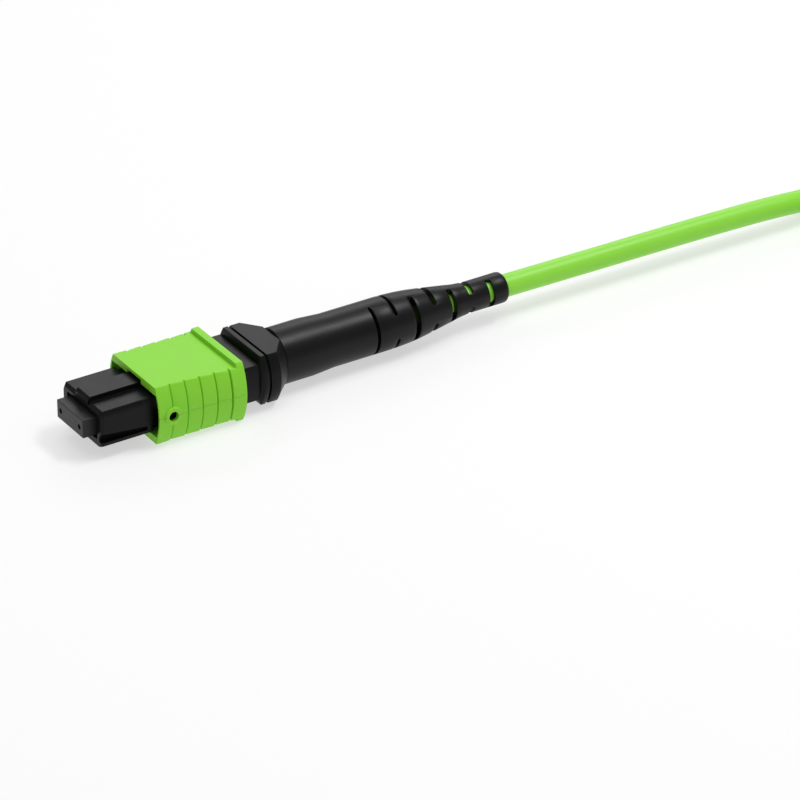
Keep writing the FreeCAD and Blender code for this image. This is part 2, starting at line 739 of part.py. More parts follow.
def boot():
    """Bend relief: long rubber cone, slotted at seven stations, each turned a quarter from the last."""
    body = new_body("boot")
    wide_bore = "crimp_outer / 2 + bore_gap"
    slim_bore = "cord_diameter / 2 + bore_gap / 2"
    shoulder = curve("boot_front + boot_shoulder", "boot_barrel_diameter / 2", "boot_shoulder_length",
                     "boot_shoulder_drop", "boot_shoulder_bulge", 3)
    hollow = curve("hollow_front", "shoulder_end - boot_taper_drop", "boot_hollow_length",
                   "shoulder_end - boot_taper_drop - boot_tail_diameter / 2", "-boot_hollow_dip", 2)
    profile = new_sketch(body, "XZ_Plane")
    loop(profile, [("boot_front", wide_bore), ("boot_front", "boot_rim_diameter / 2"),
                   ("boot_front + boot_band", "boot_rim_diameter / 2"),
                   ("boot_front + boot_waist", "boot_barrel_diameter / 2")] + shoulder + hollow + [
                       ("boot_back - boot_edge", "boot_tail_diameter / 2"),
                       ("boot_back", "boot_tail_diameter / 2 - boot_edge / 2"), ("boot_back", slim_bore),
                       ("grip_back + bore_gap", slim_bore), ("grip_back + bore_gap", wide_bore)])
    spin(body, "Revolution", profile)
    for turn in range(4):
        sketch = new_sketch(body, "XZ_Plane", turn="slot_turn + %d" % (90 * turn))
        for slot in range(turn % 2, 7, 2):
            width = "slot_narrow" if slot < 2 else "slot_wide"
            middle = "boot_front + slot_first + %d * slot_pitch" % slot
            box_loop(sketch, "%s - %s / 2" % (middle, width), "%s + %s / 2" % (middle, width),
                     "cord_diameter / 4", "boot_rim_diameter")
        spin(body, "Groove", sketch, "slot_span", middle=True)
    return body


# ---------------------------------------------------------------- cord and far connector

def tube_along(label, points):
    """A round cord along straight runs joined by tangent arcs, as wide as its two runs allow."""
    edges, length, start = [], 0.0, points[0]
    for before, corner, after in zip(points, points[1:], points[2:]):
        coming = (corner - before).normalize()
        leaving = (after - corner).normalize()
        half_turn = coming.getAngle(leaving) / 2
        reach = 0.45 * min((corner - before).Length, (after - corner).Length)
        print("%s bend radius %.0f mm" % (label, reach / math.tan(half_turn)))
        enter, leave = corner - coming * reach, corner + leaving * reach
        inward = (leaving - coming).normalize()
        crown = corner + inward * (reach / math.sin(half_turn) - reach / math.tan(half_turn))
        edges += [Part.LineSegment(start, enter).toShape(), Part.Arc(enter, crown, leave).toShape()]
        start = leave
    edges.append(Part.LineSegment(start, points[-1]).toShape())
    path = Part.Wire(edges)
    first = (points[1] - points[0]).normalize()
    section = Part.Wire([Part.makeCircle(size("cord_radius"), points[0], first)])
    tube = doc.addObject("Part::Feature", label)
    tube.Label = label
    tube.Shape = path.makePipeShell([section], True, False)
    expected = math.pi * size("cord_radius") ** 2 * path.Length
    print("%s length %.1f mm, volume %.3f of %.3f" % (label, path.Length, tube.Shape.Volume, expected))
    return tube


def at(across, along, up):
    """A point from three formulas."""
    return Vector(size(across), size(along), size(up))


def cord_tube():
    """The cord from the boot, easing down to the surface, to the outermost turn of its hank."""
    side = "hank_y + hank_turn_radius + cord_diameter / 2"
    return tube_along("cord_tube", [
        at("boot_back", "0", "0"), at("droop_x", "0", "-cord_droop"), at("sag_x", "0", "-sag"),
        at("hank_x - hank_entry", side, "cord_rest"), at("hank_x", side, "cord_rest")])


def cord_tail():
    """The cord from the top of the hank, over its end and down to the far boot."""
    side = "hank_y + hank_turn_radius"
    top = "cord_rest + hank_layer * (hank_layers - 1)"
    return tube_along("cord_tail", [
        at("hank_end", side, top), at("hank_end + tail_lead", side, top + " + tail_rise"),
        at("far_boot_x - tail_lead", "far_y", "0"), at("far_boot_x", "far_y", "0")])


def racetrack(sketch, radius):
    """Outline of one turn of the hank: two runs and two half-round ends."""
    low, high = "hank_y - " + radius, "hank_y + " + radius
    loop(sketch, [("hank_x", low), ("hank_end", low, radius), ("hank_end + " + radius, "hank_y", radius),
                  ("hank_end", high), ("hank_x", high, radius), ("hank_x - " + radius, "hank_y", radius)])


def tie_frame(sketch, grow):
    """Section of the tie, or of the notch that it lies in: the hank's own section, less a thickness."""
    left, right = "hank_y - hank_outer", "hank_y + hank_outer"
    box_loop(sketch, "%s - %s" % (left, grow), "%s + %s" % (right, grow),
             "floor - " + grow, "floor + hank_height + " + grow)
    box_loop(sketch, left + " + tie_thickness", right + " - tie_thickness",
             "floor + tie_thickness", "floor + hank_height - tie_thickness")


def cord_hank():
    """The outer shape of the folded cord, with a notch round its waist for the tie."""
    body = new_body("cord_hank")
    turns = new_sketch(body, "XY_Plane", "floor")
    racetrack(turns, "hank_outer")
    racetrack(turns, "hank_inner")
    extrude(body, "Pad", turns, "hank_height")
    slab(body, "Pocket", "tie_front - seat_gap", "tie_back + seat_gap",
         lambda sketch: tie_frame(sketch, "cut_margin"))
    return body


def cord_tie():
    """Woven strap that holds the hank together."""
    body = new_body("cord_tie")
    slab(body, "Pad", "tie_front", "tie_back", lambda sketch: tie_frame(sketch, "0"))
    return body


def place_far(body):
    """Carry a piece of the far connector to the other end of the cord, facing the other way."""
    body.Placement = Placement(Vector(), Rotation(Vector(0, 0, 1), 180))
    body.setExpression("Placement.Base.x", bind("far_x"))
    body.setExpression("Placement.Base.y", bind("far_y"))
    return body


def far_ferrule():
    """Ferrule of the far connector."""
    body = new_body("far_ferrule")
    block(body, "Pad", "0", "ferrule_length", "ferrule_width", "ferrule_height")
    block(body, "Pad", "shoulder_front", "ferrule_length", "shoulder_width", "shoulder_height")
    return place_far(body)


def far_housing():
    """Inner housing of the far connector, without its spring channels."""
    body = new_body("far_housing")
    block(body, "Pad", "housing_front", "nose_back", "nose_width", "housing_height")
    block(body, "Pad", "nose_back", "waist_back", "waist_width", "housing_height")
    slab(body, "Pad", "waist_back", "housing_back",
         lambda sketch: barrel(sketch, "body_top_width", "housing_height", "side_radius"))
    slab(body, "Pad", "key_front", "key_back",
         lambda sketch: box_loop(sketch, "-key_width / 2", "key_width / 2", "housing_height / 2 - seat_gap",
                                 "housing_height / 2 + key_height"))
    block(body, "Pocket", "housing_front", "stop_wall", "ferrule_width + 2 * slide_gap",
          "ferrule_height + 2 * slide_gap")
    block(body, "Pocket", "stop_wall", "housing_back", "cavity_width", "cavity_height")
    return place_far(body)


def far_sleeve():
    """Coupling sleeve of the far connector, with its ribs left plain."""
    body = new_body("far_sleeve")
    slab(body, "Pad", "sleeve_front", "sleeve_back",
         lambda sketch: barrel(sketch, "sleeve_top_width", "bar_height", "grip_radius"))
    slab(body, "Pocket", "sleeve_front", "mouth_back",
         lambda sketch: barrel(sketch, "sleeve_mouth_width", "sleeve_mouth_height", "grip_radius"))
    slab(body, "Pocket", "sleeve_front", "sleeve_back",
         lambda sketch: barrel(sketch, "body_top_width", "housing_height", "side_radius", "slide_gap"))
    slab(body, "Pocket", "sleeve_front", "key_back + stop_gap",
         lambda sketch: box_loop(sketch, "-key_slot_width / 2", "key_slot_width / 2", "0",
                                 "sleeve_mouth_height / 2 + key_slot_rise"))
    return place_far(body)


def far_push():
    """Spring push of the far connector: plug, flange and cone."""
    body = new_body("far_push")
    block(body, "Pad", "push_front", "housing_back", "cavity_width - 2 * slide_gap",
          "cavity_height - 2 * slide_gap")
    profile = new_sketch(body, "XZ_Plane")
    loop(profile, [("housing_back", "0"), ("housing_back", "flange_diameter / 2"),
                   ("flange_back", "flange_diameter / 2"), ("cone_back", "flange_cone_diameter / 2"),
                   ("cone_back", "0")])
    spin(body, "Revolution", profile)
    flats = new_sketch(body, "XZ_Plane")
    for hand in (-1, 1):
        box_loop(flats, "housing_back - cut_margin", "cone_back + cut_margin",
                 "%d * flange_height / 2" % hand, "%d * flange_diameter" % hand)
    extrude(body, "Pocket", flats, "4 * flange_diameter", middle=True)
    return place_far(body)


def far_boot():
    """Boot of the far connector, solid inside and without its slots."""
    body = new_body("far_boot")
    profile = new_sketch(body, "XZ_Plane")
    loop(profile, [("boot_front", "0"), ("boot_front", "boot_barrel_diameter / 2"),
                   ("taper_front - boot_shoulder_length / 2", "boot_barrel_diameter / 2"),
                   ("hollow_front + boot_hollow_length / 2", "boot_tail_diameter / 2"),
                   ("boot_back", "boot_tail_diameter / 2"), ("boot_back", "0")])
    spin(body, "Revolution", profile)
    return place_far(body)


# ---------------------------------------------------------------- build, check and write

PIECES = [mt_ferrule, fibre_array, ribbon_end, ferrule_boot, pin_clamp, ferrule_spring, fibre_ribbon,
          inner_housing, coupling_spring_left, coupling_spring_right, coupling_sleeve, spring_push,
          aramid_yarn, crimp_ring, cord_end, boot, cord_tube, cord_hank, cord_tie, cord_tail,
          far_ferrule, far_housing, far_sleeve, far_push, far_boot]
ADDS = ("Pad", "Revolution", "AdditiveLoft")
CUTS = ("Pocket", "Groove", "Chamfer")


def check_features(body):
    """Each pad must add to its body and each cut must take away from it."""
    volume = 0.0
    for feature in body.Group:
        kind = feature.TypeId.split("::")[1]
        if kind not in ADDS + CUTS:
            continue
        change = feature.Shape.Volume - volume
        if (change > 0) != (kind in ADDS) or abs(change) < 1e-6:
            raise RuntimeError("%s of %s changes nothing" % (feature.Name, body.Label))
        volume = feature.Shape.Volume


made = [piece() for piece in PIECES]
doc.recompute()
for thing in doc.Objects:
    if "Invalid" in thing.State or "Error" in thing.State:
        raise RuntimeError("%s failed: %s" % (thing.Label, thing.State))
for piece in made:
    if piece.Shape.isNull() or not piece.Shape.isValid():
        raise RuntimeError("%s has no valid shape" % piece.Label)
    if piece.TypeId == "PartDesign::Body":
        check_features(piece)

os.makedirs("parts", exist_ok=True)
for piece in made:
    piece.Shape.exportStep("parts/%s.step" % piece.Label)
    print("%-24s %9.3f mm3" % (piece.Label, piece.Shape.Volume))
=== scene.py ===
import math

import bmesh
import bpy
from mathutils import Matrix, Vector


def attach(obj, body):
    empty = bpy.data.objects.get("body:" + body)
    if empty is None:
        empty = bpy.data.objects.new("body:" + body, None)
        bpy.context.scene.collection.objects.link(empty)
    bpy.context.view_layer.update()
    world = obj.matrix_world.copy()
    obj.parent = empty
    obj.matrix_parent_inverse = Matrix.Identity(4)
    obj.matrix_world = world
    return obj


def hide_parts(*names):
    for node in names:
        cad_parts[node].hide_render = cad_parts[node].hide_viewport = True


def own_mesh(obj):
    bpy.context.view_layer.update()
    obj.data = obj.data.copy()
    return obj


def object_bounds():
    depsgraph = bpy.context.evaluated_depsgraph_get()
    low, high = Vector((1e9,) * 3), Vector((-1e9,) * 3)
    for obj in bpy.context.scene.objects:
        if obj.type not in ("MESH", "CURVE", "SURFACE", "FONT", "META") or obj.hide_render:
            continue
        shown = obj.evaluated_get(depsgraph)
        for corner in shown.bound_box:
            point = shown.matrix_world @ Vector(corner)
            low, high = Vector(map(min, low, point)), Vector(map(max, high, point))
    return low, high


# A push-pull twelve-fibre connector on a round green cord. +X runs from the mating face towards
# the cord, +Z is the keyed side, and the origin is the centre of the ferrule's mating face.
# Sizes are in millimetres. A station is a place along X, and an outline is (across, up) points.
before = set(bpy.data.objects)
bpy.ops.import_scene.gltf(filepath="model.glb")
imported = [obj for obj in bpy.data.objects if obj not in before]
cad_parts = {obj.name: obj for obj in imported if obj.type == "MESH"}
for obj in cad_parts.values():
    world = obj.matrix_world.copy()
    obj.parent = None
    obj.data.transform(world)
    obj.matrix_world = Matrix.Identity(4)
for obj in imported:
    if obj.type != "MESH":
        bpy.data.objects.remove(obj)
cad_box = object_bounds()


# ---------------------------------------------------------------- camera, table and light
# A product table with a seamless pale sweep. A large soft light hangs overhead, a strip and a
# back light draw the edges of the black parts, and a faint one stands in front.

MM = 0.001
CAMERA_TURN, CAMERA_RISE = math.radians(-32.6), math.radians(29.6)
CAMERA_DISTANCE = 600 * MM
CAMERA_LENS = 222
AIM_RIGHT, AIM_UP = 40.15, 2.3
FLOOR = cad_box[0].z

bpy.ops.object.select_all(action="DESELECT")
look_back = Vector((math.sin(CAMERA_TURN) * math.cos(CAMERA_RISE),
                    -math.cos(CAMERA_TURN) * math.cos(CAMERA_RISE), math.sin(CAMERA_RISE)))
to_right = Vector((math.cos(CAMERA_TURN), math.sin(CAMERA_TURN), 0))
to_top = look_back.cross(to_right)
aim = to_right * AIM_RIGHT * MM + to_top * AIM_UP * MM
bpy.ops.object.camera_add(location=aim + look_back * CAMERA_DISTANCE,
                          rotation=(math.pi / 2 - CAMERA_RISE, 0, CAMERA_TURN))
camera = bpy.context.object
camera.data.lens = CAMERA_LENS
camera.data.clip_start = 0.01
camera.data.clip_end = 20
bpy.context.scene.camera = camera
bpy.context.scene.view_settings.view_transform = "Standard"

bpy.ops.mesh.primitive_plane_add(size=6, location=(0, 0, FLOOR))
table_top = bpy.context.object
table_top.name = "table_top"
white = bpy.data.materials.new("white_sweep")
white.use_nodes = True
paper = white.node_tree.nodes["Principled BSDF"]
paper.inputs["Base Color"].default_value = (0.40, 0.40, 0.40, 1)
paper.inputs["Emission Color"].default_value = (1, 1, 1, 1)
paper.inputs["Emission Strength"].default_value = 0.56
paper.inputs["Roughness"].default_value = 0.9
paper.inputs["Specular IOR Level"].default_value = 0.1
table_top.data.materials.append(white)

world = bpy.data.worlds.new("studio")
world.use_nodes = True
world.node_tree.nodes["Background"].inputs["Color"].default_value = (1, 1, 1, 1)
world.node_tree.nodes["Background"].inputs["Strength"].default_value = 0.38
bpy.context.scene.world = world


def softbox(name, place, target, size, power):
    """A rectangular soft light that points at a target, with its place and size in metres."""
    bpy.ops.object.light_add(type="AREA", location=place)
    light = bpy.context.object
    light.name = name
    light.rotation_euler = (Vector(target) - Vector(place)).to_track_quat("-Z", "Y").to_euler()
    light.data.shape = "RECTANGLE"
    light.data.size, light.data.size_y = size
    light.data.energy = power


softbox("overhead", place=(0.05, 0.03, 0.62), target=(0.05, 0, 0), size=(0.7, 0.3), power=1.25)
softbox("strip", place=(0.34, -0.13, 0.60), target=(0.05, 0, 0), size=(0.24, 0.12), power=1.9)
softbox("back", place=(0.42, 0.6, 0.42), target=(0.05, 0, 0), size=(0.5, 0.35), power=1.2)
softbox("front_left", place=(-0.5, -0.5, 0.35), target=(0.04, 0, 0), size=(0.3, 0.3), power=0.08)


# ---------------------------------------------------------------- ferrule
# The part that mates: a block of glass-filled resin, moulded in one piece with a shoulder behind
# and polished square in front, with two precise guide holes and a slot for the fibre ribbon.

def skin_group():
    """Shared surface of moulded parts: fine spark-eroded texture and slow handling variation."""
    group = bpy.data.node_groups.new("moulded_skin", "ShaderNodeTree")
    face = group.interface
    grain_size = face.new_socket("Grain", in_out="INPUT", socket_type="NodeSocketFloat")
    grain_size.default_value = 12000
    face.new_socket("Height", in_out="OUTPUT", socket_type="NodeSocketFloat")
    face.new_socket("Variation", in_out="OUTPUT", socket_type="NodeSocketFloat")
    nodes, links = group.nodes, group.links
    come, leave = nodes.new("NodeGroupInput"), nodes.new("NodeGroupOutput")
    place = nodes.new("ShaderNodeTexCoord")
    grain, patch = nodes.new("ShaderNodeTexNoise"), nodes.new("ShaderNodeTexNoise")
    grain.inputs["Detail"].default_value = 3
    patch.inputs["Detail"].default_value = 4
    patch.inputs["Scale"].default_value = 350
    links.new(place.outputs["Object"], grain.inputs["Vector"])
    links.new(place.outputs["Object"], patch.inputs["Vector"])
    links.new(come.outputs["Grain"], grain.inputs["Scale"])
    links.new(grain.outputs["Fac"], leave.inputs["Height"])
    links.new(patch.outputs["Fac"], leave.inputs["Variation"])
    return group


moulded_skin = skin_group()


def two_tone(nodes, dark, light):
    """A mixer with its two colours, inputs 6 and 7, set. Its mixed colour is output 2."""
    tint = nodes.new("ShaderNodeMix")
    tint.data_type = "RGBA"
    tint.inputs[6].default_value = (*dark, 1)
    tint.inputs[7].default_value = (*light, 1)
    return tint


def moulded(name, dark, light, rough, grain, depth, specular=0.5, glow=0.0, glow_radius=(1, 1, 1)):
    """A moulded plastic: two close colours and two roughnesses, mixed by the shared skin."""
    material = bpy.data.materials.new(name)
    material.use_nodes = True
    nodes, links = material.node_tree.nodes, material.node_tree.links
    shader = nodes["Principled BSDF"]
    skin = nodes.new("ShaderNodeGroup")
    skin.node_tree = moulded_skin
    skin.inputs["Grain"].default_value = grain
    tint = two_tone(nodes, dark, light)
    links.new(skin.outputs["Variation"], tint.inputs["Factor"])
    links.new(tint.outputs[2], shader.inputs["Base Color"])
    gloss = nodes.new("ShaderNodeMapRange")
    gloss.inputs["To Min"].default_value, gloss.inputs["To Max"].default_value = rough
    links.new(skin.outputs["Variation"], gloss.inputs["Value"])
    links.new(gloss.outputs["Result"], shader.inputs["Roughness"])
    bump = nodes.new("ShaderNodeBump")
    bump.inputs["Strength"].default_value = 1
    bump.inputs["Distance"].default_value = depth * MM
    links.new(skin.outputs["Height"], bump.inputs["Height"])
    links.new(bump.outputs["Normal"], shader.inputs["Normal"])
    shader.inputs["Specular IOR Level"].default_value = specular
    shader.inputs["Subsurface Weight"].default_value = glow
    shader.inputs["Subsurface Radius"].default_value = glow_radius
    shader.inputs["Subsurface Scale"].default_value = 0.6 * MM
    return material


def end_drawing(piece):
    """Merge what meets, turn every face outwards and leave edit mode."""
    bpy.ops.mesh.select_all(action="SELECT")
    bpy.ops.mesh.remove_doubles(threshold=0.0005 * MM)
    bpy.ops.mesh.normals_make_consistent(inside=False)
    bpy.ops.object.mode_set(mode="OBJECT")
    return piece


def fit_face(piece, station, outline):
    """Bring the selected face to a station and an outline."""
    mesh = bmesh.from_edit_mesh(piece.data)
    face = next(face for face in mesh.faces if face.select)
    for corner, (across, up) in zip(face.verts, outline):
        corner.co = (station * MM, across * MM, up * MM)
    bmesh.update_edit_mesh(piece.data)


def loft(name, sections):
    """A solid that is drawn as a face and extruded through outlines at rising stations."""
    front, outline = sections[0]
    bpy.ops.object.select_all(action="DESELECT")
    bpy.ops.mesh.primitive_circle_add(vertices=len(outline), radius=MM, fill_type="NGON")
    piece = bpy.context.object
    piece.name = piece.data.name = name
    bpy.ops.object.mode_set(mode="EDIT")
    bpy.ops.mesh.select_mode(type="FACE")
    bpy.ops.mesh.select_all(action="SELECT")
    fit_face(piece, front, outline)
    for station, outline in sections[1:]:
        bpy.ops.mesh.extrude_region_move()
        fit_face(piece, station, outline)
    return end_drawing(piece)


def bar(name, front, back, outline):
    """A straight solid of one outline between two stations."""
    return loft(name, [(front, outline), (back, outline)])


def pick(piece):
    """Select a piece alone and make it the active one."""
    bpy.ops.object.select_all(action="DESELECT")
    bpy.context.view_layer.objects.active = piece
    piece.select_set(True)


def combine(piece, other, operation="DIFFERENCE"):
    """Cut another solid out of a piece, or join it on, and do away with the other solid."""
    pick(piece)
    carve = piece.modifiers.new("carve", "BOOLEAN")
    carve.operation = operation
    carve.solver = "EXACT"
    carve.object = other
    bpy.ops.object.modifier_apply(modifier=carve.name)
    bpy.data.objects.remove(other)


def soften(piece, width, angle=30, smooth=35):
    """Round the edges that are sharper than an angle, as a mould does, and smooth what is left."""
    pick(piece)
    bpy.ops.object.mode_set(mode="EDIT")
    bpy.ops.mesh.select_all(action="SELECT")
    bpy.ops.mesh.remove_doubles(threshold=0.002 * MM)
    bpy.ops.mesh.dissolve_limited(angle_limit=math.radians(0.3))
    bpy.ops.mesh.normals_make_consistent(inside=False)
    bpy.ops.object.mode_set(mode="OBJECT")
    if width:
        edge = piece.modifiers.new("edge", "BEVEL")
        edge.width = width * MM
        edge.segments = 2
        edge.limit_method = "ANGLE"
        edge.angle_limit = math.radians(angle)
        edge.use_clamp_overlap = False
        edge.miter_outer = "MITER_ARC"
        bpy.ops.object.modifier_apply(modifier=edge.name)
    bpy.ops.object.shade_smooth_by_angle(angle=math.radians(smooth))
    even = piece.modifiers.new("even", "WEIGHTED_NORMAL")
    even.keep_sharp = True
    bpy.ops.object.modifier_apply(modifier=even.name)


def square(width, height, middle=(0, 0)):
    """Outline of a rectangle."""
    return [(middle[0] + side * width / 2, middle[1] + rise * height / 2)
            for side, rise in ((1, -1), (1, 1), (-1, 1), (-1, -1))]


def round_corner(middle, radii, first, last, steps):
    """Points of an elliptical corner from one angle to another, in degrees."""
    turn = [math.radians(first + (last - first) * step / steps) for step in range(steps + 1)]
    return [(middle[0] + radii[0] * math.cos(angle), middle[1] + radii[1] * math.sin(angle))
            for angle in turn]


def soft_square(width, height, radius, steps=4):
    """Outline of a rectangle with round corners."""
    across, up = width / 2 - radius, height / 2 - radius
    return (round_corner((across, -up), (radius, radius), -90, 0, steps)
            + round_corner((across, up), (radius, radius), 0, 90, steps)
            + round_corner((-across, up), (radius, radius), 90, 180, steps)
            + round_corner((-across, -up), (radius, radius), 180, 270, steps))


def rod(name, ends, centre, diameter, sides=32, axis="X"):
    """A round cutter or pin along X, or along Y where axis says so."""
    bpy.ops.object.select_all(action="DESELECT")
    middle, length = (ends[0] + ends[1]) / 2, ends[1] - ends[0]
    place = (middle, *centre) if axis == "X" else (centre[0], middle, centre[1])
    turn = (0, math.pi / 2, 0) if axis == "X" else (math.pi / 2, 0, 0)
    bpy.ops.mesh.primitive_cylinder_add(vertices=sides, radius=diameter / 2 * MM, depth=length * MM,
                                        location=[step * MM for step in place], rotation=turn)
    pin = bpy.context.object
    pin.name = name
    bpy.ops.object.transform_apply(location=True, rotation=True, scale=True)
    return pin


FERRULE_WIDTH, FERRULE_HEIGHT, FERRULE_EDGE = 6.4, 2.5, 0.07
SHOULDER_FRONT, SHOULDER_BACK = 5.6, 8.0
RIBBON_SLOT_FRONT, WINDOW_BACK, SEAT_FRONT = 3.0, 4.6, 6.0
GUIDE_HOLE, GUIDE_PITCH = 0.7, 4.6
OVERRUN = 0.5  # how far a cutter stands out of the piece that it cuts

ferrule_resin = moulded("ferrule_resin", dark=(0.014, 0.0142, 0.0146), light=(0.022, 0.0224, 0.023),
                        rough=(0.36, 0.48), grain=16000, depth=0.004, specular=0.25)
ferrule_face = soft_square(FERRULE_WIDTH - 2 * FERRULE_EDGE, FERRULE_HEIGHT - 2 * FERRULE_EDGE, 0.05)
ferrule_outline = soft_square(FERRULE_WIDTH, FERRULE_HEIGHT, 0.12)
ferrule_shoulder = soft_square(7.0, 3.0, 0.15)
ferrule = loft("ferrule", [(0, ferrule_face), (FERRULE_EDGE, ferrule_outline),
                           (SHOULDER_FRONT, ferrule_outline), (SHOULDER_FRONT, ferrule_shoulder),
                           (SHOULDER_BACK, ferrule_shoulder)])
combine(ferrule, bar("rear_seat", SEAT_FRONT, SHOULDER_BACK + OVERRUN, square(3.6, 1.5)))
combine(ferrule, bar("ribbon_slot", RIBBON_SLOT_FRONT, SEAT_FRONT + OVERRUN, square(3.26, 0.48)))
combine(ferrule, bar("glue_window", RIBBON_SLOT_FRONT, WINDOW_BACK, square(3.1, 2, (0, 1))))
for hand in (-1, 1):
    combine(ferrule, rod("guide_hole", (-2 * OVERRUN, SHOULDER_BACK + 2 * OVERRUN),
                         (hand * GUIDE_PITCH / 2, 0), GUIDE_HOLE))
soften(ferrule, 0)
ferrule.data.materials.append(ferrule_resin)
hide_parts("mt_ferrule")
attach(ferrule, "ferrule")


# ---------------------------------------------------------------- ferrule boot, clamp and spring
# Stacked behind the ferrule: the rubber boot that grips the ribbon, a stamped steel plate that
# would hold guide pins, and the oval coil spring of steel wire that pushes the ferrule forward.

def metal(name, dark, light, rough, grain, depth):
    """A bright metal, with the same skin over it."""
    material = moulded(name, dark, light, rough, grain, depth)
    material.node_tree.nodes["Principled BSDF"].inputs["Metallic"].default_value = 1
    return material


def wear(name, material):
    """Give a CAD node's own slots a finish."""
    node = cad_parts[name]
    if not node.data.materials:
        node.data.materials.append(material)
    for index in range(len(node.data.materials)):
        node.data.materials[index] = material


def shorten(name):
    """Give a spring or the ribbon a mesh of its own."""
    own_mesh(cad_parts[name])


soft_rubber = moulded("soft_rubber", dark=(0.015, 0.015, 0.016), light=(0.03, 0.03, 0.032),
                      rough=(0.6, 0.75), grain=9000, depth=0.006)
clamp_metal = metal("clamp_metal", dark=(0.45, 0.45, 0.46), light=(0.55, 0.55, 0.56),
                    rough=(0.25, 0.35), grain=14000, depth=0.003)
spring_steel = metal("spring_steel", dark=(0.5, 0.5, 0.51), light=(0.62, 0.62, 0.63),
                     rough=(0.18, 0.28), grain=14000, depth=0.002)
wear("ferrule_boot", soft_rubber)
wear("pin_clamp", clamp_metal)
wear("ferrule_spring", spring_steel)
shorten("ferrule_spring")


# ---------------------------------------------------------------- fibres and ribbon
# Twelve glass fibres, glued into the ferrule and polished with its face. Behind it they lie side
# by side in a thin coloured film, the ribbon, which gives a little when the ferrule sinks.

glass = moulded("fibre_glass", dark=(0.18, 0.22, 0.26), light=(0.35, 0.42, 0.48),
                rough=(0.08, 0.12), grain=20000, depth=0.001)
ribbon_film = moulded("ribbon_film", dark=(0.03, 0.35, 0.42), light=(0.06, 0.45, 0.52),
                      rough=(0.25, 0.35), grain=9000, depth=0.003)
wear("fibre_array", glass)
wear("ribbon_end", ribbon_film)
wear("fibre_ribbon", ribbon_film)
shorten("fibre_ribbon")


# ---------------------------------------------------------------- inner housing
# The plug body that the adapter's latches catch: black glass-filled plastic from one mould, with
# a key rib on top, round shoulders, a rail gutter along each side and a narrow waist behind.

NOSE_FRONT, CHAMFER_BACK, GUTTER_BACK, NOSE_BACK = 1.7, 2.05, 8.1, 8.9
WAIST_BACK, KEY_BACK, HOUSING_BACK = 11.5, 10.32, 24.0
JOIN = 0.1  # how deep a joined solid starts inside the one before it
NOSE_REACH, HOUSING_RISE, SHOULDER_FOOT = 4.8, 2.5, 1.2
KEY_REACH, KEY_RISE = 1.5, 0.64
GUTTER_FOOT, GUTTER_TURN = -1.76, 15
WAIST_WIDTH, BODY_WIDTH, SIDE_RADIUS, SEAM_REACH = 7.9, 9.2, 8.0, 0.06
MOUTH_FRONT, MOUTH_BACK, MOUTH_WIDTH = 1.0, 2.4, 7.3
CAVITY_WIDTH, CAVITY_HEIGHT = 7.2, 3.3
SPRING_FRONT, SPRING_BACK, CHANNEL_HEIGHT = 13.0, 19.4, 1.7
HOOK_FRONT, HOOK_BACK, HOOK_HEIGHT, HOOK_PLAY = 20.1, 21.2, 1.8, 0.05
FERRULE_PLAY = 0.08

housing_plastic = moulded("housing_plastic", dark=(0.0034, 0.0034, 0.0036),
                          light=(0.0060, 0.0060, 0.0063), rough=(0.28, 0.38), grain=9000,
                          depth=0.008, specular=0.13)


def both_sides(right):
    """An outline from the points of its right half, given from the bottom to the top."""
    return right + [(-across, up) for across, up in reversed(right)]


def nose(gutter, tall, inset=0.0, drop=0.0):
    """Section of the nose: its gutter's depth and height, and the front chamfer's inset and drop."""
    rail = [(NOSE_REACH - 0.06, GUTTER_FOOT - 0.02), (NOSE_REACH - gutter, GUTTER_FOOT)]
    for step in range(1, 7):
        turn = math.radians(step * GUTTER_TURN)
        rail.append((NOSE_REACH - gutter * math.cos(turn) ** 1.6, GUTTER_FOOT + tall * math.sin(turn)))
    right = ([(4.3, -HOUSING_RISE), (4.72, -2.22)] + rail
             + round_corner((4.1, 1.44), (0.7, 1.2), 0, 62, 5)
             + [(KEY_REACH, HOUSING_RISE), (KEY_REACH, HOUSING_RISE + KEY_RISE)])
    section = []
    for across, up in right:
        share = min(max(up - SHOULDER_FOOT, 0) / (HOUSING_RISE - SHOULDER_FOOT), 1)
        section.append((across - inset if across > KEY_REACH else across, up - drop * share))
    return both_sides(section)


def barrel(top_width, drawn_rise, rise, grow=0.0, shelf=None, seam=0.0):
    """Section with a flat top and bottom and two bulging sides.

    The bulge is set by the width at drawn_rise and cut off at rise. A shelf is the height that the
    top has in front of a raised lip, and a seam stands proud half way up the sides.
    """
    centre = math.sqrt(SIDE_RADIUS ** 2 - drawn_rise ** 2) - top_width / 2
    shelf = shelf or rise
    heights = [rise, shelf] + [shelf * 0.86 * (1 - step / 5) for step in range(5)] + [SEAM_REACH]
    heights = [-up for up in heights] + [0] + heights[::-1]
    side = [(math.sqrt((SIDE_RADIUS + grow) ** 2 - up ** 2) - centre + (0 if up else seam), up)
            for up in heights]
    return side + [(-across, -up) for across, up in side]


